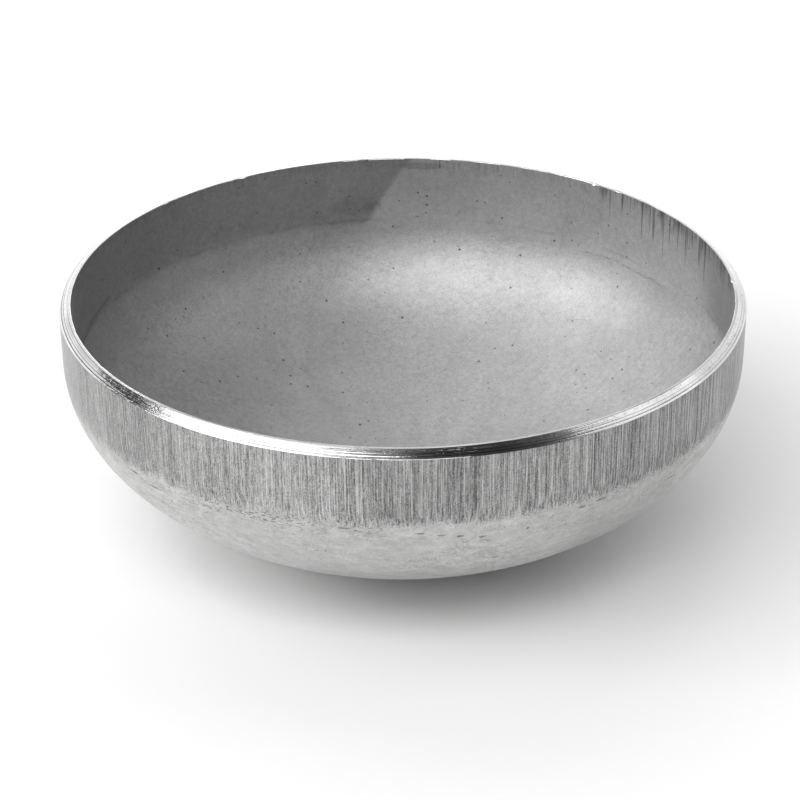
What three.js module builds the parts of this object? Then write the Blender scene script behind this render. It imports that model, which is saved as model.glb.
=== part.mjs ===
// Butt-weld pipe cap, DN 200 (8 inch), schedule 10S wall, stainless steel.
//
// One pressing: a dished (elliptical) crown, a short straight flange, and a
// turned weld end with a 37.5 degree outside bevel and a narrow root face.
// A cap of this kind is a single piece of plate, so it has a single solid.
//
// Millimetres, +Z up. The origin is the middle of the crown, underneath, and
// +Z points out of the open weld end: the cap lies on its crown, opening up.

import * as THREE from 'three';

// ---- driving dimensions, mm -------------------------------------------------
const OUTSIDE_DIAMETER = 219.1;  // pipe outside diameter, DN 200
const WALL = 3.76;               // schedule 10S
const HEIGHT = 80.0;             // crown to root face, overall
const FLANGE = 18.0;             // straight part of the outside, bevel included
const BEVEL_ANGLE = 37.5;        // degrees, from the plane of the weld end
const ROOT_FACE = 0.9;           // width of the flat land at the bore
const CROWN_FLAT = 11.0;         // radius of the flat that the crown rests on
const BORE_EASE = 0.25;          // small broken edge at the bore
const FLANGE_EASE = 0.2;         // small broken edge under the bevel

const SEGMENTS = 96;             // around the axis
const DOME_STEPS_OUT = 15;       // along the outside of the dome
const DOME_STEPS_IN = 14;        // along the inside of the dome

// ---- derived dimensions -----------------------------------------------------
const R_OUT = OUTSIDE_DIAMETER / 2;
const R_IN = R_OUT - WALL;
const R_LAND = R_IN + ROOT_FACE;                     // outer edge of the root face
const BEVEL_DROP = (R_OUT - R_LAND) * Math.tan(THREE.MathUtils.degToRad(BEVEL_ANGLE));
const Z_TANGENT = HEIGHT - FLANGE;                   // where the dome begins

// The outside of the dome is a quarter ellipse whose apex would lie just under
// Z = 0; the flat of radius CROWN_FLAT takes that last sliver off.
const flatShare = Math.sqrt(1 - (CROWN_FLAT / R_OUT) ** 2);
const RISE_OUT = Z_TANGENT / flatShare;              // semi-height, outside
const RISE_IN = RISE_OUT - WALL;                     // semi-height, inside

// Radius and height on an ellipse, by the angle from the axis.
function onDome(angle, radius, rise) {
  return new THREE.Vector2(radius * Math.sin(angle), Z_TANGENT - rise * Math.cos(angle));
}

// ---- the section ------------------------------------------------------------
// From the axis underneath, out over the crown, up the flange, over the weld
// end and back down the bore to the axis.
function section() {
  const points = [];
  points.push(new THREE.Vector2(0, 0));
  const first = Math.asin(CROWN_FLAT / R_OUT);
  for (let i = 0; i <= DOME_STEPS_OUT; i += 1) {
    const angle = first + (Math.PI / 2 - first) * (i / DOME_STEPS_OUT);
    points.push(onDome(angle, R_OUT, RISE_OUT));
  }
  points[1].y = 0;

  points.push(new THREE.Vector2(R_OUT, HEIGHT - BEVEL_DROP - FLANGE_EASE));
  points.push(new THREE.Vector2(R_OUT - FLANGE_EASE, HEIGHT - BEVEL_DROP + FLANGE_EASE * 0.77));
  points.push(new THREE.Vector2(R_LAND, HEIGHT));
  points.push(new THREE.Vector2(R_IN + BORE_EASE, HEIGHT));
  points.push(new THREE.Vector2(R_IN, HEIGHT - BORE_EASE));

  for (let i = 0; i <= DOME_STEPS_IN; i += 1) {
    const angle = (Math.PI / 2) * (1 - i / DOME_STEPS_IN);
    points.push(onDome(angle, R_IN, RISE_IN));
  }
  points[points.length - 1].x = 0;
  return points;
}

// ---- the solid --------------------------------------------------------------
// LatheGeometry turns the section about Y; a quarter turn about X stands the
// axis up along Z.
const shell = new THREE.LatheGeometry(section(), SEGMENTS);
shell.rotateX(Math.PI / 2);

const stainless = new THREE.MeshStandardMaterial({
  color: new THREE.Color(0xa9aaab),
  roughness: 0.46,
  metalness: 1.0,
});
stainless.name = 'pickled_stainless';

const capShell = new THREE.Mesh(shell, stainless);
capShell.name = 'cap_shell';

const cap = new THREE.Group();
cap.name = 'pipe_cap';
cap.add(capShell);

export default cap;
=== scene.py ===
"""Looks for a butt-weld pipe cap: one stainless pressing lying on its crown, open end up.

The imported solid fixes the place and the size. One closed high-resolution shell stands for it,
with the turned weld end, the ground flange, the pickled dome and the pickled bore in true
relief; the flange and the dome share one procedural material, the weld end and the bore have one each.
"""

import math

import bpy
import numpy as np
from mathutils import Matrix, Vector


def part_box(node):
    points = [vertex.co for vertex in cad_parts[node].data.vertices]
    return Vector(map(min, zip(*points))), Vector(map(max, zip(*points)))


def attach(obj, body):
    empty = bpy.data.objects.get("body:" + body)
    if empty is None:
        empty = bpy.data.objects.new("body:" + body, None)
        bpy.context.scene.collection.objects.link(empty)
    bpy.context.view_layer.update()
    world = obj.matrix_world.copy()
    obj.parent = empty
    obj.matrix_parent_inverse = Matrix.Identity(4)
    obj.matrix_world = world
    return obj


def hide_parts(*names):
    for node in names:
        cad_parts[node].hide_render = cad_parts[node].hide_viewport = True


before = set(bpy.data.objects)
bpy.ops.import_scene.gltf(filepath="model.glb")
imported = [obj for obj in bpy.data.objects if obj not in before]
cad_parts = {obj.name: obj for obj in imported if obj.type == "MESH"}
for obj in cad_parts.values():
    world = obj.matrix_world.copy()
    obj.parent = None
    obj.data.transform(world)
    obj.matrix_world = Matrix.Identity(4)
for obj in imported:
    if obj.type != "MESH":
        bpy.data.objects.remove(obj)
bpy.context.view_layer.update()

MM = 0.001
scene = bpy.context.scene
scene.view_settings.view_transform = "Standard"
scene.view_settings.look = "None"
scene.view_settings.exposure = 0.0
scene.view_settings.gamma = 1.0

# ---------------------------------------------------------------------------------------------
# Sizes, in millimetres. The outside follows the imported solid's own box.
# ---------------------------------------------------------------------------------------------
low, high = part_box("cap_shell")
R_OUT = (high.x - low.x) / 2 / MM
HEIGHT = (high.z - low.z) / MM
WALL = 3.76
R_IN = R_OUT - WALL
ROOT_FACE = 0.9
R_LAND = R_IN + ROOT_FACE
BEVEL = math.radians(37.5)
DROP = (R_OUT - R_LAND) * math.tan(BEVEL)
Z_TAN = HEIGHT - 18.0  # where the dome begins, outside
CROWN_FLAT = 11.0
RISE_OUT = Z_TAN / math.sqrt(1 - (CROWN_FLAT / R_OUT) ** 2)
RISE_IN = RISE_OUT - WALL
Z_TAN_IN = HEIGHT - 22.5  # the bore stays straight a little deeper than the outside does
Z_EDGE = HEIGHT - DROP  # outer corner of the bevel
SLOPE = (R_OUT - R_LAND) / math.cos(BEVEL)  # length of the bevel face
CORNER = 0.2  # radius on the outer corner
# turned grooves on the bevel: distance up the face, half width, depth, how far they wander
GROOVES = [(0.92, 0.190, 0.042, 0.04), (1.36, 0.090, 0.010, 0.08), (1.82, 0.140, 0.022, 0.08)]

COLUMNS = 480
rng = np.random.default_rng(20261116)


# ---------------------------------------------------------------------------------------------
# Smooth noise for relief, periodic round the axis
# ---------------------------------------------------------------------------------------------
def ring_noise(phi, lowest, highest, terms, seed):
    """Sum of whole-number waves round the axis, scaled to about -1..1."""
    r = np.random.default_rng(seed)
    out = np.zeros_like(phi)
    for _ in range(terms):
        k = int(r.integers(lowest, highest + 1))
        out = out + np.cos(k * phi + r.uniform(0, 2 * math.pi)) * r.uniform(0.5, 1.0)
    return out / (0.75 * math.sqrt(terms / 2.0) * 2.0)


def field(phi, s, k_range, wave_mm, terms, seed):
    """Smooth 2-D relief over angle and distance along the section, about -1..1."""
    r = np.random.default_rng(seed)
    out = np.zeros(np.broadcast(phi, s).shape)
    for _ in range(terms):
        k = int(r.integers(k_range[0], k_range[1] + 1))
        w = 2 * math.pi / r.uniform(*wave_mm) * r.choice([-1.0, 1.0])
        out = out + np.cos(k * phi + w * s + r.uniform(0, 2 * math.pi)) * r.uniform(0.5, 1.0)
    return out / (0.75 * math.sqrt(terms / 2.0) * 2.0)


# ---------------------------------------------------------------------------------------------
# The section: rings of (radius, height, region), from the crown outside to the crown inside
# ---------------------------------------------------------------------------------------------
DOME_OUT, FLANGE, BEVEL_FACE, LAND, BORE, DOME_IN = range(6)


def ellipse_by_arc(a, b, t0, t1, count):
    """Angles from the axis that step evenly along a quarter ellipse."""
    t = np.linspace(t0, t1, 4001)
    x, y = a * np.sin(t), -b * np.cos(t)
    d = np.concatenate([[0.0], np.cumsum(np.hypot(np.diff(x), np.diff(y)))])
    return np.interp(np.linspace(0, d[-1], count), d, t)


def make_section():
    rings = []

    def add(r, z, region):
        rings.append((float(r), float(z), region))

    # crown: a small flat, eased into the dome
    for r in (3.5, 7.0, 9.6):
        add(r, 0.0, DOME_OUT)
    t0 = math.asin(12.4 / R_OUT)
    add(11.0, 0.012, DOME_OUT)
    for t in ellipse_by_arc(R_OUT, RISE_OUT, t0, math.pi / 2, 44):
        add(R_OUT * math.sin(t), Z_TAN - RISE_OUT * math.cos(t), DOME_OUT)
    # straight flange
    turn = math.pi / 2 - BEVEL
    reach = CORNER * math.tan(turn / 2)
    for z in np.linspace(Z_TAN, Z_EDGE - reach, 12)[1:]:
        add(R_OUT, z, FLANGE)
    for t in np.linspace(0, turn, 6)[1:-1]:
        add(R_OUT - CORNER * (1 - math.cos(t)), Z_EDGE - reach + CORNER * math.sin(t), FLANGE)
    # bevel face: rings close together over the grooves
    for d in np.concatenate([np.linspace(reach, 2.05, 42), np.linspace(2.17, SLOPE - 0.10, 11)]):
        add(R_OUT - d * math.cos(BEVEL), Z_EDGE + d * math.sin(BEVEL), BEVEL_FACE)
    # root face, with its outer corner just broken
    add(R_LAND - 0.015, HEIGHT - 0.012, LAND)
    for r in np.linspace(R_LAND - 0.09, R_IN + 0.21, 6):
        add(r, HEIGHT, LAND)
    # broken edge at the bore
    add(R_IN + 0.12, HEIGHT - 0.035, LAND)
    add(R_IN + 0.035, HEIGHT - 0.12, LAND)
    add(R_IN, HEIGHT - 0.24, BORE)
    # straight bore
    for z in (HEIGHT - 0.5, HEIGHT - 0.95):
        add(R_IN, z, BORE)
    for z in np.linspace(HEIGHT - 1.6, Z_TAN_IN, 12):
        add(R_IN, z, BORE)
    # dish inside: leaves the straight bore on a slightly tighter knuckle, then meets the ellipse
    t_all = ellipse_by_arc(R_IN, RISE_IN, 0.0, math.pi / 2, 52)[::-1]
    for t in t_all:
        r, z = R_IN * math.sin(t), Z_TAN - RISE_IN * math.cos(t)
        if z > Z_TAN_IN - 0.8 or r < 1.5:
            continue
        gap = Z_TAN_IN - z
        r += 0.34 * math.exp(-((gap / 6.0) ** 1.6))
        add(r, z, DOME_IN)
    return rings


RINGS = make_section()


def column_angles():
    """Even round the axis, with a few extra columns where the bore edge carries a nick."""
    base = np.linspace(0, 2 * math.pi, COLUMNS, endpoint=False)
    extra = []
    for deg, _, width, _ in EDGE_MARKS:
        for off in (-1.1, -0.45, 0.45, 1.1):
            extra.append(math.radians(deg) + off * width / R_IN)
    allp = np.sort(np.mod(np.concatenate([base, extra]), 2 * math.pi))
    keep = [allp[0]]
    for a in allp[1:]:
        if a - keep[-1] > 0.0012:
            keep.append(a)
    return np.array(keep)


# nicks (+) and burrs (-) on the bore edge: degrees round from +X, how far out, half width, height, mm
EDGE_MARKS = [
    (140.2, -0.30, 0.8, -0.18),
    (137.6, -0.14, 0.6, -0.08),
    (122.3, -0.52, 1.3, -0.32),
    (124.9, -0.18, 0.7, -0.10),
    (50.5, -0.55, 0.7, -0.48),
    (45.0, -0.26, 1.0, -0.14),
    (97.0, -0.14, 1.2, -0.06),
    (1.0, -0.40, 0.9, -0.22),
    (197.5, 0.22, 1.0, -0.10),
    (211.0, 0.20, 0.8, -0.08),
    (262.0, 0.16, 0.6, -0.05),
    (283.0, -0.20, 1.2, -0.05),
    (301.0, 0.24, 0.9, -0.08),
    (318.0, 0.20, 0.7, -0.06),
]


# shallow dents in the outside and inside skins: degrees, height z, depth, half width, side
DENTS = [
    (236.0, 52.0, 0.10, 3.2, DOME_OUT),
    (302.0, 40.0, 0.12, 3.6, DOME_OUT),
    (318.0, 47.0, 0.08, 2.6, DOME_OUT),
    (196.0, 38.0, 0.10, 3.4, DOME_OUT),
    (95.0, 45.0, 0.12, 4.0, DOME_OUT),
    (40.0, 30.0, 0.14, 4.2, DOME_OUT),
    (150.0, 22.0, 0.12, 3.8, DOME_OUT),
    (270.0, 14.0, 0.10, 3.6, DOME_OUT),
    (80.0, 40.0, 0.10, 3.5, DOME_IN),
    (118.0, 24.0, 0.12, 4.0, DOME_IN),
    (215.0, 16.0, 0.10, 3.8, DOME_IN),
    (330.0, 30.0, 0.10, 3.2, DOME_IN),
]


def groove_wander(p, i):
    """The grooves are not quite concentric with the bevel; the materials use the same wave."""
    return np.cos(p - math.radians((265.0, 268.0, 271.0)[i]))


def build_shell():
    phi = column_angles()
    n, m = len(phi), len(RINGS)
    r0 = np.array([q[0] for q in RINGS])
    z0 = np.array([q[1] for q in RINGS])
    reg = np.array([q[2] for q in RINGS])
    s = np.concatenate([[0.0], np.cumsum(np.hypot(np.diff(r0), np.diff(z0)))])

    # outward normal of the section
    dr = np.gradient(r0)
    dz = np.gradient(z0)
    ln = np.hypot(dr, dz)
    nr, nz = dz / ln, -dr / ln

    P = phi[None, :]
    S = s[:, None]
    Z_H = z0[:, None]
    push = np.zeros((m, n))

    def on(*regions):
        return np.isin(reg, regions)[:, None].astype(float)

    # the whole pressing is very slightly out of round, always inwards
    oval = -0.035 * (1 + ring_noise(P, 2, 4, 3, 11)) * 0.5
    # pressed skins undulate a little
    edge_fade_out = np.clip((Z_TAN + 6 - z0) / 14.0, 0, 1)[:, None]
    push += on(DOME_OUT) * edge_fade_out * (-0.045 + 0.040 * field(P, S, (2, 13), (24, 70), 16, 5))
    fade_in = np.clip((Z_TAN_IN - z0) / 10.0, 0, 1)[:, None]
    push += on(DOME_IN) * fade_in * (0.045 * field(P, S, (2, 12), (26, 80), 16, 8))
    push += on(BORE) * 0.012 * field(P, S, (6, 40), (30, 90), 10, 9)
    # belt-ground flange: shallow flats that run along the axis
    flats = np.abs(ring_noise(P, 40, 150, 26, 21)) ** 0.8
    ground = np.clip((z0 - (Z_TAN - 7)) / 7.0, 0, 1)[:, None] * on(DOME_OUT, FLANGE)
    push += -ground * (0.014 * flats + 0.004)
    # the turned bevel: three grooves near its outer corner, and a slightly uneven face above them
    up_face = (Z_H - Z_EDGE) / math.sin(BEVEL)
    for i, (at, half, depth, wander) in enumerate(GROOVES):
        centre = at + wander * groove_wander(P, i)
        g = np.clip(1 - np.abs(up_face - centre) / half, 0, 1)
        worn = 1 - 0.92 * np.exp(-(((np.degrees(P) - 284) / 20.0) ** 4))  # almost turned away at the front
        push += on(BEVEL_FACE) * -depth * worn * g * g * (3 - 2 * g) * (0.80 + 0.20 * ring_noise(P, 3, 19, 9, 60 + i))
    push += on(BEVEL_FACE) * 0.0025 * ring_noise(P, 9, 60, 20, 33)
    # tool chatter, in patches
    chatter = 2.4 * np.exp(-(((np.degrees(P) - 220.5) / 6.0) ** 2)) + 0.6 * np.exp(-(((np.degrees(P) - 321) / 12.0) ** 2))
    push += on(BEVEL_FACE) * -0.010 * chatter * (0.5 + 0.5 * np.cos(113 * P + 5.0 * up_face)) * (0.5 + 0.5 * np.cos(71 * P - 6.0 * up_face))
    push += on(LAND) * -0.002 * (0.5 + 0.5 * ring_noise(P, 9, 80, 20, 35))

    X_r = r0[:, None] + nr[:, None] * push + oval
    X_z = z0[:, None] + nz[:, None] * push

    # dents
    for deg, z_c, depth, half, side in DENTS:
        d_phi = (P - math.radians(deg) + math.pi) % (2 * math.pi) - math.pi
        k = int(np.argmin(np.where(reg == side, np.abs(z0 - z_c), 1e9)))
        d2 = (d_phi * r0[k]) ** 2 + (S - s[k]) ** 2
        g = depth * np.exp(-d2 / (2 * (half / 1.6) ** 2)) * on(side)
        X_r -= nr[:, None] * g
        X_z -= nz[:, None] * g

    # nicks and burrs on the bore edge
    lip = np.exp(-(((s - s[np.argmax(reg == BORE)] + 0.15) / 0.35) ** 2))[:, None]
    for deg, depth, half, up in EDGE_MARKS:
        d_phi = (P - math.radians(deg) + math.pi) % (2 * math.pi) - math.pi
        g = np.exp(-((d_phi * R_IN / half) ** 2)) * lip
        X_r += depth * g
        X_z += up * g
    # the broken edge is not perfectly even
    X_r += lip * 0.03 * ring_noise(P, 20, 120, 14, 41)

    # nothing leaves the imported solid's box
    X_r = np.minimum(X_r, np.where(np.isin(reg, (DOME_OUT, FLANGE, BEVEL_FACE))[:, None], R_OUT, 1e9))
    X_z = np.clip(X_z, 0.0, HEIGHT)

    xyz = np.empty((m, n, 3))
    xyz[..., 0] = X_r * np.cos(P)
    xyz[..., 1] = X_r * np.sin(P)
    xyz[..., 2] = X_z
    verts = xyz.reshape(-1, 3)
    top_out = len(verts)
    verts = np.vstack([verts, [[0, 0, 0.0]], [[0, 0, Z_TAN - RISE_IN]]]) * MM

    cols = np.arange(n)
    nxt = (cols + 1) % n
    quads, quad_ring, quad_col = [], [], []
    for j in range(m - 1):
        a, b = j * n, (j + 1) * n
        quads.append(np.stack([a + cols, a + nxt, b + nxt, b + cols], -1))
        quad_ring.append(np.full(n, j))
        quad_col.append(cols)
    quads = np.vstack(quads)
    quad_ring = np.concatenate(quad_ring)
    quad_col = np.concatenate(quad_col)
    cap_a = np.stack([np.full(n, top_out), nxt, cols], -1)
    cap_b = np.stack([np.full(n, top_out + 1), (m - 1) * n + cols, (m - 1) * n + nxt], -1)

    mesh = bpy.data.meshes.new("cap")
    nq = len(quads)
    loops = np.concatenate([quads.ravel(), cap_a.ravel(), cap_b.ravel()]).astype(np.int32)
    starts = np.concatenate([np.arange(nq) * 4, nq * 4 + np.arange(2 * n) * 3]).astype(np.int32)
    mesh.vertices.add(len(verts))
    mesh.vertices.foreach_set("co", verts.astype(np.float32).ravel())
    mesh.loops.add(len(loops))
    mesh.loops.foreach_set("vertex_index", loops)
    mesh.polygons.add(nq + 2 * n)
    mesh.polygons.foreach_set("loop_start", starts)
    mesh.update(calc_edges=True)
    mesh.validate()

    # material by region: outside, machined weld end, bore
    slot_of = {DOME_OUT: 0, FLANGE: 0, BEVEL_FACE: 1, LAND: 1, BORE: 2, DOME_IN: 2}
    face_slot = np.array([slot_of[int(reg[min(j + 1, m - 1)])] for j in range(m - 1)])
    slots = np.concatenate([face_slot[quad_ring], np.zeros(n), np.full(n, 2)]).astype(np.int32)
    mesh.polygons.foreach_set("material_index", slots)
    mesh.polygons.foreach_set("use_smooth", np.ones(nq + 2 * n, bool))

    lay_out_uv(mesh, phi, s, r0, reg, quad_ring, quad_col, n, m)
    mesh.set_sharp_from_angle(angle=math.radians(28))
    return mesh


# ---------------------------------------------------------------------------------------------
# A map for baking: each skin's dish is a disc, and the flange, weld end and bore are strips
# ---------------------------------------------------------------------------------------------
def lay_out_uv(mesh, phi, s, r0, reg, quad_ring, quad_col, n, m):
    uv = mesh.uv_layers.new(name="OFBake")
    total = len(mesh.loops)
    out = np.zeros((total, 2))
    phi_next = np.append(phi[1:], phi[0] + 2 * math.pi)
    half = (phi[quad_col] >= math.pi).astype(float)

    def first(region):
        return int(np.argmax(reg == region))

    j_fl, j_bv, j_la, j_bo, j_di = (first(q) for q in (FLANGE, BEVEL_FACE, LAND, BORE, DOME_IN))
    j_fl -= 1  # the face between the last dome ring and the first flange ring belongs to the flange
    j_bv -= 1
    j_la -= 1
    j_bo -= 1
    j_di -= 1
    # strips: first ring, last ring, v of the first half, height
    pad = 0.006
    strips = []
    v = 1.0 - pad
    for a, b, h in ((j_fl, j_bv, 0.046), (j_bv, j_la, 0.020), (j_la, j_bo, 0.010), (j_bo, j_di, 0.052)):
        strips.append((a, b, v, h))
        v -= 2 * (h + pad)
    rho = 0.2610
    disc_out = (rho + pad, rho + pad)
    disc_in = (1.0 - rho - pad, v - rho)

    nq = len(quad_ring)
    ring4 = np.stack([quad_ring, quad_ring, quad_ring + 1, quad_ring + 1], -1)
    ang4 = np.stack([phi[quad_col], phi_next[quad_col], phi_next[quad_col], phi[quad_col]], -1)
    uv4 = np.zeros((nq, 4, 2))
    done = np.zeros(nq, bool)
    for a, b, v0, h in strips:
        sel = (quad_ring >= a) & (quad_ring < b)
        done |= sel
        t = (s[ring4[sel]] - s[a]) / (s[b] - s[a])
        hf = half[sel][:, None]
        u = (ang4[sel] - hf * math.pi) / math.pi
        uv4[sel, :, 0] = 0.004 + 0.992 * u
        uv4[sel, :, 1] = v0 - hf * (h + pad) - h * t
    out_sel = (quad_ring < j_fl) & ~done
    in_sel = (quad_ring >= j_di) & ~done
    for sel, centre, s_axis, s_edge in (
        (out_sel, disc_out, -r0[0], s[j_fl]),
        (in_sel, disc_in, s[-1] + r0[-1], s[j_di]),
    ):
        rr = np.abs(s[ring4[sel]] - s_axis) / abs(s_edge - s_axis) * rho
        uv4[sel, :, 0] = centre[0] + rr * np.cos(ang4[sel])
        uv4[sel, :, 1] = centre[1] + rr * np.sin(ang4[sel])
    out[: nq * 4] = uv4.reshape(-1, 2)
    fan = np.zeros((2, n, 3, 2))
    ra = r0[0] / (s[j_fl] + r0[0]) * rho
    rb = r0[-1] / (s[-1] + r0[-1] - s[j_di]) * rho
    fan[0, :, 0] = disc_out
    fan[1, :, 0] = disc_in
    ends = np.stack([phi, phi_next], -1)
    for i, k in ((1, 1), (2, 0)):
        fan[0, :, i, 0] = disc_out[0] + ra * np.cos(ends[:, k])
        fan[0, :, i, 1] = disc_out[1] + ra * np.sin(ends[:, k])
    for i, k in ((1, 0), (2, 1)):
        fan[1, :, i, 0] = disc_in[0] + rb * np.cos(ends[:, k])
        fan[1, :, i, 1] = disc_in[1] + rb * np.sin(ends[:, k])
    out[nq * 4 :] = fan.reshape(-1, 2)
    uv.data.foreach_set("uv", out.astype(np.float32).ravel())


# ---------------------------------------------------------------------------------------------
# Materials
# ---------------------------------------------------------------------------------------------
class Graph:
    """Short names for the shader nodes used here."""

    def __init__(self, name):
        self.mat = bpy.data.materials.new(name)
        self.mat.use_nodes = True
        self.t = self.mat.node_tree
        self.t.nodes.clear()
        self.out = self.t.nodes.new("ShaderNodeOutputMaterial")
        self.bsdf = self.t.nodes.new("ShaderNodeBsdfPrincipled")
        self.t.links.new(self.bsdf.outputs["BSDF"], self.out.inputs["Surface"])
        tc = self.t.nodes.new("ShaderNodeTexCoord")
        self.pos = tc.outputs["Object"]
        sep = self.t.nodes.new("ShaderNodeSeparateXYZ")
        self.link(self.pos, sep.inputs[0])
        self.x, self.y, self.z = sep.outputs
        self.rad = self.m("SQRT", self.m("ADD", self.m("MULTIPLY", self.x, self.x), self.m("MULTIPLY", self.y, self.y)))
        safe = self.m("MAXIMUM", self.rad, 1e-4)
        self.cx = self.m("DIVIDE", self.x, safe)  # cosine and sine of the angle round the axis
        self.sy = self.m("DIVIDE", self.y, safe)

    def link(self, a, b):
        self.t.links.new(a, b)

    def put(self, socket, value):
        if hasattr(value, "links") or isinstance(value, bpy.types.NodeSocket):
            self.link(value, socket)
        else:
            socket.default_value = value

    def m(self, op, a, b=None, c=None, clamp=False):
        n = self.t.nodes.new("ShaderNodeMath")
        n.operation = op
        n.use_clamp = clamp
        for i, v in enumerate((a, b, c)):
            if v is not None:
                self.put(n.inputs[i], v)
        return n.outputs[0]

    def vec(self, x, y, z):
        n = self.t.nodes.new("ShaderNodeCombineXYZ")
        for i, v in enumerate((x, y, z)):
            self.put(n.inputs[i], v)
        return n.outputs[0]

    def scaled(self, sx, sy, sz):
        """Position with each axis scaled, for a stretched pattern."""
        return self.vec(self.m("MULTIPLY", self.x, sx), self.m("MULTIPLY", self.y, sy), self.m("MULTIPLY", self.z, sz))

    def round(self, k, sr, sz, off=0.0):
        """Pattern space wrapped round the axis: k sets detail round it, sr and sz across it."""
        return self.vec(
            self.m("MULTIPLY_ADD", self.cx, k, off),
            self.m("MULTIPLY", self.sy, k),
            self.m("ADD", self.m("MULTIPLY", self.rad, sr), self.m("MULTIPLY", self.z, sz)),
        )

    def noise(self, vector, scale=1.0, detail=2.0, rough=0.5, distort=0.0, w=None):
        n = self.t.nodes.new("ShaderNodeTexNoise")
        if w is not None:
            n.noise_dimensions = "4D"
            n.inputs["W"].default_value = w
        self.put(n.inputs["Vector"], vector)
        n.inputs["Scale"].default_value = scale
        n.inputs["Detail"].default_value = detail
        n.inputs["Roughness"].default_value = rough
        n.inputs["Distortion"].default_value = distort
        return n.outputs[0]

    def voronoi(self, vector, scale=1.0, feature="F1", randomness=1.0):
        n = self.t.nodes.new("ShaderNodeTexVoronoi")
        n.feature = feature
        self.put(n.inputs["Vector"], vector)
        n.inputs["Scale"].default_value = scale
        n.inputs["Randomness"].default_value = randomness
        return n

    def span(self, value, a, b, lo=0.0, hi=1.0, smooth=True):
        """Maps a..b to lo..hi, clamped."""
        n = self.t.nodes.new("ShaderNodeMapRange")
        n.interpolation_type = "SMOOTHSTEP" if smooth else "LINEAR"
        self.put(n.inputs["Value"], value)
        n.inputs["From Min"].default_value = a
        n.inputs["From Max"].default_value = b
        n.inputs["To Min"].default_value = lo
        n.inputs["To Max"].default_value = hi
        return n.outputs[0]

    def blob(self, deg, half_deg, soft=0.5):
        """1 near an angle round the axis, 0 beyond half_deg."""
        a = math.radians(deg)
        d = self.m("ADD", self.m("MULTIPLY", self.cx, math.cos(a)), self.m("MULTIPLY", self.sy, math.sin(a)))
        inner = math.cos(math.radians(half_deg * soft))
        outer = math.cos(math.radians(half_deg))
        return self.span(d, outer, inner)

    def ahead(self, deg):
        """1 on the half that faces an angle, 0 on the other."""
        a = math.radians(deg)
        d = self.m("ADD", self.m("MULTIPLY", self.cx, math.cos(a)), self.m("MULTIPLY", self.sy, math.sin(a)))
        return self.span(d, 0.0, 0.2)

    def arc(self, deg, radius):
        """Metres along a circle of that radius (mm) from an angle, counter-clockwise."""
        a = math.radians(deg)
        d = self.m("SUBTRACT", self.m("MULTIPLY", self.sy, math.cos(a)), self.m("MULTIPLY", self.cx, math.sin(a)))
        return self.m("MULTIPLY", d, radius * MM)

    def spot(self, deg, radius, z, half_arc, half_z, wobble):
        """A soft uneven spot at an angle and a height; sizes in mm."""
        a = self.m("DIVIDE", self.arc(deg, radius), half_arc * MM)
        b = self.m("DIVIDE", self.m("SUBTRACT", self.z, z * MM), half_z * MM)
        d = self.m("MULTIPLY_ADD", a, a, self.m("MULTIPLY", b, b))
        d = self.m("MULTIPLY_ADD", self.m("SUBTRACT", wobble, 0.5), 2.4, d)
        return self.m("MULTIPLY", self.span(d, 1.3, 0.4), self.ahead(deg))

    def near_segment(self, p, q, p0, q0, p1, q1, half):
        """1 within half of the segment between two points of the plane (p, q); all in metres."""
        dp, dq = p1 - p0, q1 - q0
        ln2 = dp * dp + dq * dq
        u = self.m("SUBTRACT", p, p0)
        v = self.m("SUBTRACT", q, q0)
        t = self.m("MULTIPLY_ADD", u, dp / ln2, self.m("MULTIPLY", v, dq / ln2), clamp=True)
        eu = self.m("SUBTRACT", u, self.m("MULTIPLY", t, dp))
        ev = self.m("SUBTRACT", v, self.m("MULTIPLY", t, dq))
        d = self.m("SQRT", self.m("MULTIPLY_ADD", eu, eu, self.m("MULTIPLY", ev, ev)))
        return self.span(d, half, half * 0.25)

    def scratch(self, deg0, z0, deg1, z1, half, radius=R_OUT):
        """A straight mark on a round wall from one angle and height (mm) to another."""
        mid = (deg0 + deg1) / 2
        ends = [radius * MM * math.sin(math.radians(d - mid)) for d in (deg0, deg1)]
        near = self.near_segment(self.arc(mid, radius), self.z, ends[0], z0 * MM, ends[1], z1 * MM, half * MM)
        return self.m("MULTIPLY", near, self.ahead(mid))

    def cut(self, x0, y0, x1, y1, half, wobble):
        """A mark in the dish between two points seen from above, in mm, a little bent."""
        bend = self.m("MULTIPLY", self.m("SUBTRACT", wobble, 0.5), 0.006)
        return self.near_segment(self.m("ADD", self.x, bend), self.m("SUBTRACT", self.y, bend), x0 * MM, y0 * MM, x1 * MM, y1 * MM, half * MM)

    def mix(self, f, a, b):
        n = self.t.nodes.new("ShaderNodeMix")
        n.data_type = "FLOAT"
        self.put(n.inputs[0], f)
        self.put(n.inputs[2], a)
        self.put(n.inputs[3], b)
        return n.outputs[0]

    def grey(self, value, tint=(1.0, 1.0, 1.0)):
        n = self.t.nodes.new("ShaderNodeCombineColor")
        for i in range(3):
            self.put(n.inputs[i], self.m("MULTIPLY", value, tint[i]))
        return n.outputs[0]

    def bump(self, height, distance, strength=1.0, normal=None):
        n = self.t.nodes.new("ShaderNodeBump")
        n.inputs["Distance"].default_value = distance
        n.inputs["Strength"].default_value = strength
        self.put(n.inputs["Height"], height)
        if normal is not None:
            self.link(normal, n.inputs["Normal"])
        return n.outputs[0]


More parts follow.
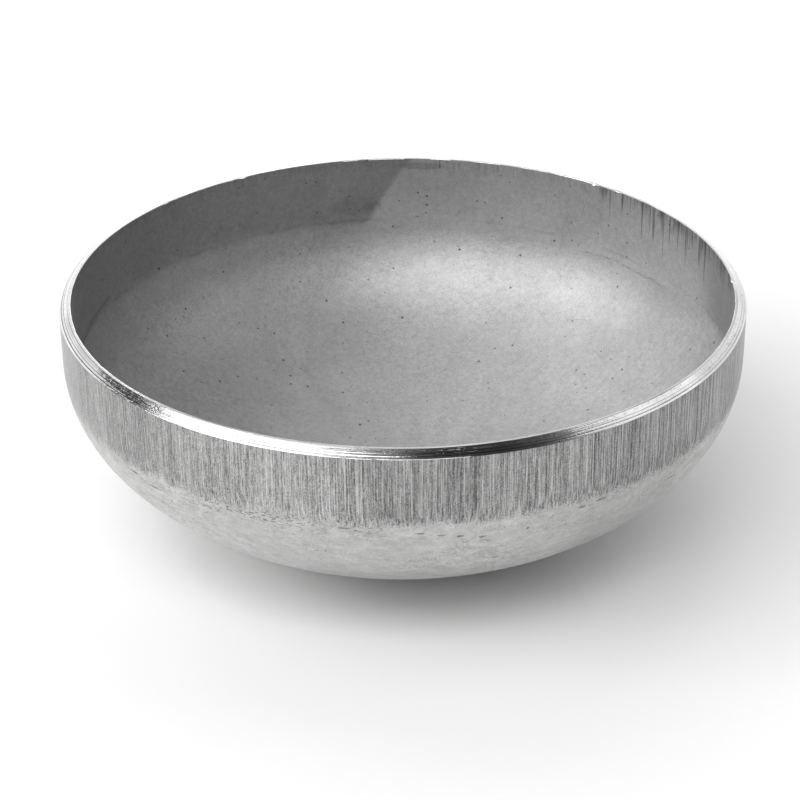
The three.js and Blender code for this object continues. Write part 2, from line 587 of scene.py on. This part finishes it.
def outside_material():
    """Pickled dome below, belt-ground flange above, with an uneven edge between the two."""
    g = Graph("cap_outside")
    # ground lines run along the axis: hair lines, wider lines, bands, short streaks, grit
    hair = g.noise(g.scaled(1, 1, 0.012), 2700, 1.0, 0.6)
    line = g.noise(g.scaled(1, 1, 0.022), 1050, 2.0, 0.62)
    band = g.noise(g.scaled(1, 1, 0.12), 190, 2.0, 0.5)
    short = g.noise(g.scaled(1, 1, 0.12), 2300, 1.0, 0.5)
    grit = g.noise(g.scaled(1, 1, 0.55), 3300, 1.0, 0.5)
    # pickled skin
    grain = g.noise(g.pos, 1900, 1.0, 0.6)
    cloud = g.noise(g.pos, 24, 3.0, 0.55, 0.4)
    swirl = g.noise(g.round(15, 300, 360), 1.0, 2.0, 0.6, 0.5)
    scuff = g.noise(g.round(14, 2100, 2600), 1.0, 1.0, 0.5)
    dash_n = g.noise(g.round(62, 1150, 1500), 1.0, 1.0, 0.5)
    patch = g.noise(g.pos, 40, 1.0, 0.5)
    mottle = g.noise(g.pos, 330, 3.0, 0.62)
    dash = g.m("MULTIPLY", g.span(dash_n, 0.67, 0.76), g.span(patch, 0.44, 0.58))
    # faint curled marks
    curl = g.noise(g.pos, 300, 1.5, 0.6, 0.7)
    worm = g.m("MULTIPLY", g.span(g.m("ABSOLUTE", g.m("SUBTRACT", curl, 0.5)), 0.060, 0.015), g.span(cloud, 0.50, 0.60))
    # small nicks crowd just below the ground band
    nick_n = g.noise(g.round(75, 1350, 1700), 1.0, 1.0, 0.5)
    crowd = g.m("MULTIPLY", g.span(g.z, 0.0500, 0.0535), g.span(g.z, 0.0572, 0.0556))
    crowd = g.m("MULTIPLY", crowd, g.m("MULTIPLY_ADD", g.blob(249, 20, 0.5), 0.7, 0.3))
    nick = g.m("MULTIPLY", g.span(nick_n, 0.545, 0.64), crowd)
    dash = g.m("MAXIMUM", dash, g.m("MULTIPLY", nick, g.span(patch, 0.36, 0.52)))
    for deg, z, half_arc, half_z in (
        (260.9, 54.2, 2.2, 0.40),
        (272.4, 52.7, 1.9, 0.36),
        (275.6, 51.7, 1.3, 0.40),
        (278.6, 50.9, 1.3, 0.42),
        (282.2, 49.6, 1.3, 0.45),
        (285.2, 38.2, 1.3, 0.60),
        (298.5, 53.7, 1.3, 0.50),
        (302.0, 54.4, 2.2, 0.50),
        (222.0, 53.4, 2.0, 0.45),
        (226.5, 51.4, 3.0, 0.42),
        (318.5, 49.6, 2.6, 0.45),
    ):
        dash = g.m("MAXIMUM", dash, g.m("MULTIPLY", g.spot(deg, R_OUT, z, half_arc, half_z, wobble=nick_n), 0.85))

    # where the belt stopped
    ragged = g.m("MULTIPLY_ADD", g.m("SUBTRACT", line, 0.5), 0.0030, g.m("MULTIPLY", g.m("SUBTRACT", band, 0.5), 0.0042))
    ragged = g.m("MULTIPLY_ADD", g.m("SUBTRACT", grit, 0.5), 0.0058, ragged)
    edge = g.m("SUBTRACT", g.z, ragged)
    belt = g.span(edge, (HEIGHT - 24.8) * MM, (HEIGHT - 22.9) * MM)
    rim_of_belt = g.m("MULTIPLY", belt, g.span(edge, (HEIGHT - 21.0) * MM, (HEIGHT - 23.2) * MM))

    calm = g.blob(208, 46, 0.35)  # a side where the belt ran lighter
    ground = g.m("MULTIPLY", g.m("SUBTRACT", hair, 0.5), 1.18)
    ground = g.m("MULTIPLY_ADD", g.m("SUBTRACT", line, 0.5), 0.66, ground)
    ground = g.m("MULTIPLY_ADD", g.span(hair, 0.64, 0.74), 0.32, ground)
    ground = g.m("MULTIPLY", ground, g.m("MULTIPLY_ADD", g.blob(336, 30, 0.5), 0.45, g.m("MULTIPLY_ADD", g.blob(246, 18, 0.4), -0.24, 1.0)))
    ground = g.m("MULTIPLY_ADD", ground, g.m("MULTIPLY_ADD", calm, -0.38, 1.0), 0.55)
    ground = g.m("MULTIPLY_ADD", g.m("SUBTRACT", band, 0.5), g.m("MULTIPLY_ADD", g.blob(340, 30, 0.5), 0.22, 0.22), ground)
    ground = g.m("MULTIPLY_ADD", g.m("SUBTRACT", short, 0.5), 0.68, ground)
    ground = g.m("MULTIPLY_ADD", g.m("SUBTRACT", grit, 0.5), 0.86, ground)
    ground = g.m("MULTIPLY_ADD", rim_of_belt, 0.05, ground)
    ground = g.m("SUBTRACT", ground, g.m("MULTIPLY", g.spot(239.4, R_OUT, 59.0, 1.5, 0.8, wobble=grain), 0.20))
    ground = g.m("SUBTRACT", ground, g.m("MULTIPLY", g.scratch(301.0, 67.0, 303.9, 59.0, 0.16), 0.22))
    ground = g.m("MINIMUM", g.m("MAXIMUM", ground, 0.20), 0.97)
    # painted light and shade: the ground band is lighter at the front left, darker in front and darker towards the
    # right edge, where it mirrors shade
    ground = g.m("MULTIPLY", ground, g.m("MULTIPLY_ADD", g.blob(247, 22, 0.3), 0.20, g.m("MULTIPLY_ADD", g.blob(336, 46, 0.5), -0.22, 1.0)))
    ground = g.m("MULTIPLY", ground, g.m("MULTIPLY_ADD", g.blob(276, 16, 0.4), -0.08, 1.0))
    ground = g.m("MULTIPLY", ground, g.m("MULTIPLY_ADD", g.blob(326, 14, 0.5), 0.04, g.m("MULTIPLY_ADD", g.blob(350, 20, 0.5), -0.08, 1.0)))
    skin = g.m("MULTIPLY_ADD", g.m("SUBTRACT", cloud, 0.5), 0.30, 0.67)
    skin = g.m("MULTIPLY_ADD", g.m("SUBTRACT", swirl, 0.5), 0.30, skin)
    skin = g.m("MULTIPLY_ADD", g.m("SUBTRACT", mottle, 0.5), 0.24, skin)
    skin = g.m("SUBTRACT", skin, g.m("MULTIPLY", worm, 0.12))
    skin = g.m("MULTIPLY_ADD", g.m("SUBTRACT", grain, 0.5), 0.34, skin)
    skin = g.m("MULTIPLY_ADD", g.span(scuff, 0.66, 0.78), 0.10, skin)
    skin = g.m("MULTIPLY_ADD", g.span(scuff, 0.34, 0.24), -0.07, skin)
    skin = g.m("MULTIPLY_ADD", g.scratch(261.5, 40.8, 265.4, 39.6, 0.18), 0.10, skin)
    skin = g.m("SUBTRACT", skin, g.m("MULTIPLY", dash, 0.36))
    skin = g.m("MULTIPLY", skin, g.m("MULTIPLY_ADD", g.blob(310, 14, 0.3), -0.13, 1.0))
    # painted shade: the dome is darker low down in front, where it mirrors the floor's contact shadow
    skin = g.m("MULTIPLY", skin, g.m("MULTIPLY_ADD", g.m("MULTIPLY", g.blob(270, 24, 0.3), g.span(g.z, 0.040, 0.026)), -0.12, 1.0))
    tone = g.mix(belt, g.m("MULTIPLY", skin, 0.84), g.m("MULTIPLY", ground, 0.583))
    g.link(g.grey(tone, (1.0, 0.997, 0.99)), g.bsdf.inputs["Base Color"])

    rough_ground = g.m("MULTIPLY_ADD", line, 0.12, 0.26)
    rough_skin = g.m("MULTIPLY_ADD", cloud, 0.12, 0.44)
    g.link(g.mix(belt, rough_skin, rough_ground), g.bsdf.inputs["Roughness"])
    g.bsdf.inputs["Metallic"].default_value = 1.0

    h_ground = g.m("MULTIPLY_ADD", line, 0.9, g.m("MULTIPLY", hair, 0.55))
    h_ground = g.m("MULTIPLY_ADD", grit, 0.20, h_ground)
    h_skin = g.m("MULTIPLY_ADD", swirl, 0.8, g.m("MULTIPLY", grain, 0.14))
    h_skin = g.m("SUBTRACT", h_skin, g.m("MULTIPLY", dash, 0.5))
    height = g.mix(belt, h_skin, h_ground)
    g.link(g.bump(height, 0.00012, 1.0), g.bsdf.inputs["Normal"])
    return g.mat


def machined_material():
    """Turned bevel and root face: lines run round the axis."""
    g = Graph("cap_weld_end")
    line = g.noise(g.round(3.0, 3300, -2600), 1.0, 2.0, 0.65)
    coarse = g.noise(g.round(4.0, 1150, -900), 1.0, 1.0, 0.5)
    smear = g.noise(g.round(70.0, 1500, -1200), 1.0, 2.0, 0.6)
    fleck = g.noise(g.round(80.0, 1350, -1080), 1.0, 2.0, 0.55, 0.3)
    speck = g.noise(g.pos, 1500, 1.0, 0.6)
    scuff_n = g.noise(g.round(46.0, 700, -560), 1.0, 2.0, 0.6)
    face = g.m("DIVIDE", g.m("SUBTRACT", g.z, Z_EDGE * MM), math.sin(BEVEL) * MM)  # mm up the bevel
    on_land = g.span(g.z, (HEIGHT - 0.10) * MM, (HEIGHT - 0.03) * MM)
    # painted shade and swarf darken the bottom of each groove
    swarf_and_shade = None
    for i, (at, half, _, wander) in enumerate(GROOVES):
        a = math.radians((265.0, 268.0, 271.0)[i])
        wave = g.m("ADD", g.m("MULTIPLY", g.cx, math.cos(a) * wander), g.m("MULTIPLY", g.sy, math.sin(a) * wander))
        d = g.m("ABSOLUTE", g.m("SUBTRACT", g.m("SUBTRACT", face, at), wave))
        one = g.span(d, half * 1.15, half * 0.50, 0.0, (1.0, 0.35, 0.90)[i])
        swarf_and_shade = one if swarf_and_shade is None else g.m("MAXIMUM", swarf_and_shade, one)
    swarf_and_shade = g.m("MULTIPLY", swarf_and_shade, g.m("MULTIPLY_ADD", g.blob(252, 26, 0.6), -0.85, 1.0))
    swarf_and_shade = g.m("MULTIPLY", swarf_and_shade, g.m("MULTIPLY_ADD", g.blob(338, 58, 0.6), -0.62, 1.0))
    # and painted shade along the very corner, on one side
    swarf_and_shade = g.m("MAXIMUM", swarf_and_shade, g.m("MULTIPLY", g.span(face, 0.20, 0.10), g.m("MULTIPLY", g.blob(211, 13, 0.5), 0.55)))
    patch = g.m("MAXIMUM", g.blob(221, 10, 0.6), g.m("MULTIPLY", g.blob(325, 26), 0.30))
    # where the tool rubbed: burnished dark, with bright flecks
    start = g.m("MULTIPLY_ADD", g.arc(219.6, R_OUT), -75.0, 1.05)
    inner = g.span(g.m("SUBTRACT", face, start), -0.2, 0.3)
    burnt = g.m("MULTIPLY", g.blob(218.4, 8.8, 0.4), g.m("MULTIPLY", inner, g.span(face, 3.62, 3.35)))
    # a thin dark line under the root face on the left
    under = g.m("MULTIPLY", g.m("MULTIPLY", g.span(face, 3.10, 3.30), g.span(face, 3.56, 3.42)), g.blob(196, 40, 0.5))
    streaky = g.m("MULTIPLY_ADD", g.m("SUBTRACT", line, 0.5), 0.5, fleck)
    burnt = g.m("MULTIPLY", burnt, g.span(streaky, 0.66, 0.52))
    upper = g.m("MULTIPLY", g.span(face, 1.5, 2.2), g.span(face, 3.6, 3.2))
    scuff = g.m("MULTIPLY", g.m("MULTIPLY", patch, upper), g.span(scuff_n, 0.50, 0.62))
    burr = g.m("MULTIPLY", g.span(scuff_n, 0.60, 0.70), g.m("SUBTRACT", 1.0, on_land))
    tone = g.m("MULTIPLY_ADD", g.m("SUBTRACT", line, 0.5), 0.22, 0.90)
    tone = g.m("MULTIPLY_ADD", g.m("SUBTRACT", coarse, 0.5), 0.12, tone)
    tone = g.m("MULTIPLY_ADD", g.m("SUBTRACT", smear, 0.5), 0.10, tone)
    tone = g.m("MULTIPLY_ADD", g.m("SUBTRACT", speck, 0.5), 0.14, tone)
    tone = g.m("MULTIPLY_ADD", on_land, 0.02, tone)
    tone = g.m("MULTIPLY_ADD", g.blob(182, 10, 0.5), 0.07, tone)
    # the root face is a little duller, most of all at the back and on the right
    dull = g.m("MULTIPLY_ADD", g.blob(48, 72, 0.75), 0.22, 0.12)
    dull = g.m("MULTIPLY_ADD", g.blob(72, 44, 0.6), 0.18, dull)
    # and greyer in front
    dull = g.m("MULTIPLY_ADD", g.blob(282, 68, 0.5), 0.20, dull)
    dull = g.m("MULTIPLY_ADD", g.blob(234, 12, 0.5), 0.14, dull)
    dull = g.m("MULTIPLY_ADD", g.blob(289, 9, 0.5), 0.16, dull)
    dull = g.m("MULTIPLY", on_land, g.m("MULTIPLY_ADD", g.blob(328, 22, 0.5), 0.15, dull))
    tone = g.m("MULTIPLY", tone, g.m("SUBTRACT", 1.0, dull))
    # and painted shade darkens its inner corner, where it turns into the bore, most of all in front
    corner = g.m("MULTIPLY", g.span(g.rad, 106.10 * MM, 105.98 * MM), g.blob(276, 74, 0.4))
    tone = g.m("MULTIPLY", tone, g.m("MULTIPLY_ADD", corner, -0.45, 1.0))
    # painted shade and swarf in the grooves and along the corner
    tone = g.m("MULTIPLY", tone, g.m("SUBTRACT", 1.0, g.m("MULTIPLY", swarf_and_shade, 0.88)))
    tone = g.m("MULTIPLY", tone, g.m("SUBTRACT", 1.0, g.m("MULTIPLY", scuff, 0.30)))
    tone = g.m("MULTIPLY", tone, g.m("SUBTRACT", 1.0, g.m("MULTIPLY", burnt, 0.73)))
    tone = g.m("MULTIPLY", tone, g.m("SUBTRACT", 1.0, g.m("MULTIPLY", under, 0.42)))
    tone = g.m("MULTIPLY", tone, g.m("SUBTRACT", 1.0, g.m("MULTIPLY", g.m("MULTIPLY", g.blob(201, 13, 0.5), g.span(face, 2.0, 2.4)), g.m("MULTIPLY", g.m("SUBTRACT", 1.0, on_land), 0.27))))
    tone = g.m("MULTIPLY", tone, g.m("SUBTRACT", 1.0, g.m("MULTIPLY", burr, 0.15)))
    # painted shade: darker towards the right, and darkest where the dark stretch mirrored in front ends
    tone = g.m("MULTIPLY", tone, g.m("MULTIPLY_ADD", g.blob(347, 12, 0.4), -0.24, 1.0))
    tone = g.m("MULTIPLY", tone, g.m("MULTIPLY_ADD", g.blob(308, 14, 0.4), -0.14, 1.0))
    dark_end = g.m("MULTIPLY", g.blob(292.6, 5.0, 0.3), g.m("SUBTRACT", 1.0, on_land))
    tone = g.m("MULTIPLY", tone, g.m("MULTIPLY_ADD", dark_end, -0.35, 1.0))
    tone = g.m("MINIMUM", tone, 0.97)
    g.link(g.grey(tone), g.bsdf.inputs["Base Color"])
    rough = g.m("MULTIPLY_ADD", coarse, 0.08, 0.09)
    rough = g.m("MULTIPLY_ADD", scuff, 0.20, rough)
    g.link(rough, g.bsdf.inputs["Roughness"])
    g.bsdf.inputs["Metallic"].default_value = 1.0
    h = g.m("MULTIPLY_ADD", line, 0.55, g.m("MULTIPLY", coarse, 0.5))
    h = g.m("MULTIPLY_ADD", smear, g.m("MULTIPLY_ADD", patch, 2.4, 0.20), h)
    h = g.m("MULTIPLY_ADD", speck, 0.40, h)
    g.link(g.bump(h, 0.000038, 1.0), g.bsdf.inputs["Normal"])
    return g.mat


def bore_material():
    """Pickled inside: matt, cloudy, with pits, smudges, a die line and drawing streaks below the rim."""
    g = Graph("cap_bore")
    grain = g.noise(g.pos, 1900, 1.0, 0.6)
    mottle = g.noise(g.pos, 520, 2.0, 0.6)
    cloud = g.noise(g.pos, 20, 4.0, 0.6, 0.6)
    haze = g.noise(g.round(7, 55, 70), 1.0, 3.0, 0.6, 0.3)
    wobble = g.noise(g.round(9, 30, 40), 1.0, 3.0, 0.6)
    # small dark pits, few and of uneven size
    vor = g.voronoi(g.pos, 330)
    sep = g.t.nodes.new("ShaderNodeSeparateColor")
    g.link(vor.outputs["Color"], sep.inputs[0])
    size = g.m("POWER", sep.outputs[0], 1.7)
    pit = g.span(g.m("SUBTRACT", vor.outputs["Distance"], g.m("MULTIPLY", size, 0.165)), 0.022, -0.030)
    pit = g.m("MULTIPLY", pit, g.m("MULTIPLY_ADD", sep.outputs[1], 0.7, 0.3))
    # drawing streaks that hang from the rim, each of its own length
    below = g.m("DIVIDE", g.m("SUBTRACT", HEIGHT * MM, g.z), 0.016)
    streak_n = g.noise(g.scaled(1, 1, 0.016), 860, 1.0, 0.5)
    limit = g.m("MULTIPLY_ADD", below, 0.22, 0.488)
    streak = g.span(g.m("SUBTRACT", streak_n, limit), 0.0, 0.075)
    streak = g.m("MULTIPLY", streak, g.m("MULTIPLY_ADD", grain, 0.8, 0.6))
    few = g.m("MULTIPLY", g.m("MAXIMUM", g.blob(77, 12), g.m("MULTIPLY", g.blob(330, 40), 0.6)), g.span(below, 0.42, 0.16))
    where = g.m("MAXIMUM", g.blob(24, 27, 0.75), g.m("MULTIPLY", few, 0.30))
    drips = g.m("MAXIMUM", g.scratch(82.6, 79.6, 82.6, 76.9, 0.42, R_IN), g.m("MULTIPLY", g.scratch(78.9, 79.0, 78.8, 76.2, 0.30, R_IN), 0.6))
    drips = g.m("MAXIMUM", drips, g.m("MULTIPLY", g.scratch(81.3, 79.8, 81.2, 78.4, 0.40, R_IN), 0.8))
    streak = g.m("MULTIPLY", streak, g.m("MAXIMUM", where, g.m("MULTIPLY", g.span(below, 0.30, 0.10), 0.25)))
    streak = g.m("MAXIMUM", streak, drips)
    near_rim = g.span(g.z, (HEIGHT - 8.0) * MM, (HEIGHT - 0.5) * MM)
    smudge_n = g.noise(g.scaled(1, 1, 0.35), 210, 3.0, 0.6, 0.3)
    smudge = g.m("MULTIPLY", g.m("MULTIPLY", g.span(smudge_n, 0.44, 0.66), near_rim), g.m("MAXIMUM", g.blob(26, 30, 0.7), 0.12))
    # the straight wall is painted darker than the dish, least on the right: painted shade
    z_w = g.m("MULTIPLY_ADD", g.m("SUBTRACT", wobble, 0.5), -0.0035, g.z)
    wall_all = g.span(z_w, 0.0525, 0.0580)
    wall = g.m("MULTIPLY", g.span(z_w, 0.0535, 0.0572), g.m("MULTIPLY_ADD", g.blob(28, 52, 0.3), -0.7, 1.0))
    die_line = g.m("MULTIPLY", g.span(z_w, 0.0556, 0.0562), g.span(z_w, 0.0574, 0.0565))
    die_line = g.m("MULTIPLY", die_line, g.m("MAXIMUM", g.m("MULTIPLY_ADD", g.span(haze, 0.44, 0.62), 0.8, 0.10), g.blob(101, 8.5, 0.5)))
    low_line = g.m("MULTIPLY", g.span(z_w, 0.0529, 0.0534), g.span(z_w, 0.0541, 0.0536))
    low_line = g.m("MULTIPLY", g.m("MULTIPLY", low_line, g.blob(41, 12, 0.85)), g.span(mottle, 0.36, 0.56))
    crease = g.m("MAXIMUM", g.m("MULTIPLY", g.scratch(177.0, 55.2, 160.0, 58.9, 1.5, R_IN), 0.70), g.m("MULTIPLY", low_line, 0.8))
    crease = g.m("MAXIMUM", crease, g.m("MULTIPLY", die_line, 0.45))
    # a rubbed patch with a slanting edge at the back
    arc = g.arc(92.5, R_IN)
    slant = g.m("MULTIPLY_ADD", g.m("SUBTRACT", g.z, 0.067), 0.633, arc)
    slant = g.m("MULTIPLY_ADD", g.m("SUBTRACT", cloud, 0.5), 0.010, slant)
    slant = g.m("MULTIPLY_ADD", g.m("SUBTRACT", mottle, 0.5), 0.004, slant)
    patch = g.m("MULTIPLY", g.span(slant, -0.0004, 0.0026), g.span(arc, 0.044, 0.016))
    patch = g.m("MULTIPLY", g.m("MULTIPLY", patch, wall), g.ahead(92.5))
    # darker where the patch ends, low down, and a second fainter edge behind it
    low_spot = g.m("MAXIMUM", g.m("MULTIPLY", g.spot(99.0, R_IN, 62.4, 10.0, 4.0, wobble=cloud), 0.35), g.m("MULTIPLY", g.spot(86.2, R_IN, 77.2, 8.5, 1.5, wobble=haze), 0.9))
    low_spot = g.m("MAXIMUM", low_spot, g.m("MULTIPLY", g.spot(96.2, R_IN, 61.8, 4.6, 2.0, wobble=mottle), g.span(mottle, 0.34, 0.58, 0.4, 1.0)))
    second = g.m("MULTIPLY", g.scratch(104.5, 62.5, 102.0, 73.0, 5.5, R_IN), g.span(haze, 0.36, 0.56))
    blot = g.m("MULTIPLY", g.span(haze, 0.48, 0.62), wall)
    # curled marks on the floor of the dish
    curl = g.noise(g.pos, 360, 1.5, 0.6, 0.7)
    worm = g.m("MULTIPLY", g.span(g.m("ABSOLUTE", g.m("SUBTRACT", curl, 0.5)), 0.070, 0.015), g.span(cloud, 0.46, 0.58))
    worm = g.m("MULTIPLY", worm, g.span(wall, 0.6, 0.0))

    tone = g.m("MULTIPLY_ADD", g.m("SUBTRACT", cloud, 0.5), 0.26, 0.60)
    tone = g.m("MULTIPLY_ADD", g.m("SUBTRACT", haze, 0.5), 0.17, tone)
    tone = g.m("MULTIPLY_ADD", g.m("SUBTRACT", mottle, 0.5), 0.22, tone)
    tone = g.m("MULTIPLY_ADD", g.m("SUBTRACT", grain, 0.5), 0.30, tone)
    tone = g.m("SUBTRACT", tone, g.m("MULTIPLY", worm, 0.055))
    # painted light and shade: the right of the dish painted paler where the light falls, its left and its back darker,
    # a highlight toned down at the back right, the wall darker, and a painted lit stretch of wall
    wide = g.m("ABSOLUTE", g.x)
    painted_light_and_shade = g.m("MULTIPLY", g.m("MULTIPLY", g.span(g.x, 0.030, 0.095), g.span(g.y, 0.095, 0.035)), 0.16)
    left = g.m("MULTIPLY", g.span(g.x, -0.032, -0.088), g.span(g.y, 0.095, 0.030))
    painted_light_and_shade = g.m("MULTIPLY_ADD", left, -0.22, painted_light_and_shade)
    hot = g.m("MULTIPLY", g.span(g.m("ABSOLUTE", g.m("SUBTRACT", g.x, 0.050)), 0.030, 0.004), g.span(g.y, 0.055, 0.085))
    painted_light_and_shade = g.m("MULTIPLY_ADD", hot, -0.13, painted_light_and_shade)
    painted_light_and_shade = g.m("MULTIPLY_ADD", g.m("MULTIPLY", g.span(g.y, 0.068, 0.092), g.span(wide, 0.060, 0.025)), -0.11, painted_light_and_shade)
    painted_light_and_shade = g.m("MULTIPLY", painted_light_and_shade, g.m("SUBTRACT", 1.0, wall_all))
    painted_lit_wall = g.m("MULTIPLY", g.blob(58, 48, 0.74), g.m("SUBTRACT", 1.0, g.span(slant, -0.0004, 0.0026)))
    tint = g.m("MULTIPLY_ADD", g.span(g.z, 0.076, 0.060), 0.21, 0.29)
    painted_light_and_shade = g.m("MULTIPLY_ADD", wall_all, g.m("MULTIPLY_ADD", painted_lit_wall, tint, -0.14), painted_light_and_shade)
    tone = g.m("MULTIPLY", tone, g.m("ADD", 1.0, painted_light_and_shade))
    # painted shade on the straight wall
    tone = g.m("MULTIPLY", tone, g.m("SUBTRACT", 1.0, g.m("MULTIPLY", wall, 0.14)))
    tone = g.m("MULTIPLY", tone, g.m("SUBTRACT", 1.0, g.m("MULTIPLY", g.m("MULTIPLY", patch, g.span(haze, 0.34, 0.52, 0.5, 1.0)), 0.06)))
    tone = g.m("MULTIPLY", tone, g.m("SUBTRACT", 1.0, g.m("MULTIPLY", blot, 0.07)))
    tone = g.m("MULTIPLY", tone, g.m("SUBTRACT", 1.0, g.m("MULTIPLY", low_spot, 0.24)))
    tone = g.m("MULTIPLY", tone, g.m("MULTIPLY_ADD", second, 0.08, 1.0))
    tone = g.m("MULTIPLY", tone, g.m("SUBTRACT", 1.0, g.m("MULTIPLY", pit, 0.78)))
    tone = g.m("MULTIPLY", tone, g.m("SUBTRACT", 1.0, g.m("MULTIPLY", streak, 0.46)))
    tone = g.m("MULTIPLY", tone, g.m("SUBTRACT", 1.0, g.m("MULTIPLY", smudge, 0.46)))
    tone = g.m("MULTIPLY", tone, g.m("SUBTRACT", 1.0, g.m("MULTIPLY", crease, 0.30)))
    # light scratches in the dish
    for x0, y0, x1, y1, depth in (
        (37.6, 55.2, 44.8, 60.5, 0.10),
        (44.8, 60.5, 49.6, 64.4, 0.10),
        (44.5, 52.1, 52.4, 57.7, 0.13),
        (58.2, 70.6, 64.6, 66.9, 0.16),
        (67.4, 54.2, 70.2, 49.2, 0.14),
    ):
        tone = g.m("MULTIPLY", tone, g.m("SUBTRACT", 1.0, g.m("MULTIPLY", g.cut(x0, y0, x1, y1, 0.22, wobble), depth)))
    tone = g.m("MULTIPLY", tone, 0.787)
    g.link(g.grey(tone), g.bsdf.inputs["Base Color"])
    g.link(g.m("MULTIPLY_ADD", cloud, 0.14, 0.46), g.bsdf.inputs["Roughness"])
    g.bsdf.inputs["Metallic"].default_value = 1.0
    dimple = g.noise(g.pos, 290, 1.0, 0.5)
    h = g.m("MULTIPLY_ADD", mottle, 0.50, g.m("MULTIPLY", grain, 0.16))
    h = g.m("MULTIPLY_ADD", dimple, 0.60, h)
    h = g.m("SUBTRACT", h, g.m("MULTIPLY", pit, 0.6))
    h = g.m("SUBTRACT", h, g.m("MULTIPLY", crease, 0.5))
    g.link(g.bump(h, 0.00008, 1.0), g.bsdf.inputs["Normal"])
    return g.mat


# ---------------------------------------------------------------------------------------------
# The cap
# ---------------------------------------------------------------------------------------------
mesh = build_shell()
for make in (outside_material, machined_material, bore_material):
    mesh.materials.append(make())
cap = bpy.data.objects.new("cap", mesh)
scene.collection.objects.link(cap)
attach(cap, "root")
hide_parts("cap_shell")

# ---------------------------------------------------------------------------------------------
# Floor, lights and camera
# ---------------------------------------------------------------------------------------------
bpy.ops.mesh.primitive_circle_add(vertices=128, radius=9.0, fill_type="NGON", location=(0, 0, -0.0002))
floor = bpy.context.object
floor.name = "floor"
fmat = bpy.data.materials.new("floor_pale")
fmat.use_nodes = True
fb = fmat.node_tree.nodes["Principled BSDF"]
fb.inputs["Base Color"].default_value = (0.94, 0.94, 0.94, 1)
fb.inputs["Roughness"].default_value = 0.9
fb.inputs["Specular IOR Level"].default_value = 0.1
floor.data.materials.append(fmat)

world = bpy.data.worlds.new("studio")
scene.world = world
world.use_nodes = True
world.node_tree.nodes["Background"].inputs[0].default_value = (1, 1, 1, 1)
world.node_tree.nodes["Background"].inputs[1].default_value = 0.02


def panel(name, place, aim, width, height, radiance):
    """A soft panel. Radiance is what a mirror would show."""
    light = bpy.data.lights.new(name, "AREA")
    light.shape = "RECTANGLE"
    light.size = width
    light.size_y = height
    light.energy = radiance * width * height * math.pi
    ob = bpy.data.objects.new(name, light)
    scene.collection.objects.link(ob)
    ob.location = place
    ob.rotation_euler = aim.to_track_quat("-Z", "Y").to_euler()


# A dome of soft panels, 5 m out: elevation, half height, panels in a full turn, {azimuth: radiance}.
# Azimuth is counter-clockwise from +X. Most of the light comes from the left and the front left;
# overhead it stops along a clean edge, which the turned bevel mirrors.
REACH = 5.0
DOME = [
    (13, 10, 12, {30: 0.72, 60: 1.09, 90: 2.32, 120: 0.98, 150: 0.94, 180: 1.36, 210: 0.73}),
    (33, 10, 12, {15: 0.99, 45: 0.74, 75: 1.05, 105: 0.80, 135: 0.92, 165: 0.09, 195: 4.92, 225: 3.01, 255: 1.65, 315: 0.19, 345: 0.89}),
    (53, 10, 12, {15: 1.14, 75: 1.17, 105: 1.34, 135: 1.76, 165: 0.35, 195: 1.39, 225: 3.22, 255: 4.68, 285: 3.73, 345: 0.13}),
    (71, 8, 8, {67.5: 1.42, 112.5: 0.77, 202.5: 1.06, 247.5: 0.07}),
]
for elevation, half, count, row in DOME:
    for azimuth, radiance in row.items():
        a, e = math.radians(azimuth), math.radians(elevation)
        d = Vector((math.cos(a) * math.cos(e), math.sin(a) * math.cos(e), math.sin(e)))
        w = 2 * REACH * math.tan(math.pi / count) * math.cos(e)
        h = 2 * REACH * math.tan(math.radians(half))
        panel("panel_%d_%d" % (elevation, azimuth), d * REACH + Vector((0, 0, 0.04)), -d, w, h, radiance)
a, e = math.radians(176), math.radians(53)  # a narrow one where the bevel turns from dark to white
d = Vector((math.cos(a) * math.cos(e), math.sin(a) * math.cos(e), math.sin(e)))
panel("panel_edge", d * REACH + Vector((0, 0, 0.04)), -d, 1.27, 1.58, 1.5)
for azimuth, radiance in ((60, 0.65), (120, 0.95)):  # low strips that close the gap under the dome, where the sides of the bevel look
    a = math.radians(azimuth)
    d = Vector((math.cos(a), math.sin(a), 0.0))
    panel("panel_low_%d" % azimuth, d * REACH + Vector((0, 0, 0.16)), -d, 2.6, 0.28, radiance)
TOP = 2 * REACH * math.tan(math.radians(11))  # only the front-left quarter of a square straight overhead gets a panel
for side, fore, radiance in ((-1, -1, 0.6),):
    panel("panel_top_%d%d" % (side > 0, fore > 0), Vector((side * TOP / 4, fore * TOP / 4, REACH)), Vector((0, 0, -1)), TOP / 2, TOP / 2, radiance)

# The camera: 0.8 m from the middle of the cap, 28 degrees up, in front
ELEVATION = math.radians(28.06)
DISTANCE = 0.800
FOCAL_PX = 2436.4
ROLL = math.radians(0.45)
TARGET = Vector((0, 0, 0.040))
LOOK_X, LOOK_Y = 403.4 - 400.0, 395.7 - 400.0  # where the middle of the cap falls, from the image centre
back = Vector((0, -math.cos(ELEVATION), math.sin(ELEVATION)))
cam_data = bpy.data.cameras.new("camera")
cam = bpy.data.objects.new("camera", cam_data)
scene.collection.objects.link(cam)
cam_data.sensor_width = 36.0
cam_data.lens = FOCAL_PX * 36.0 / 800.0
cam_data.clip_start = 0.01
cam_data.clip_end = 60.0
place = TARGET + back * DISTANCE
right = Vector((1, 0, 0))
up = back.cross(right)
# turn a hair so that the middle of the cap falls where it should
fwd = (-back - right * (LOOK_X / FOCAL_PX) + up * (LOOK_Y / FOCAL_PX)).normalized()
right = fwd.cross(Vector((0, 0, 1))).normalized()
up = right.cross(fwd)
r2 = right * math.cos(ROLL) - up * math.sin(ROLL)
u2 = right * math.sin(ROLL) + up * math.cos(ROLL)
basis = Matrix((r2, u2, -fwd)).transposed()
cam.matrix_world = Matrix.Translation(place) @ basis.to_4x4()
scene.camera = cam
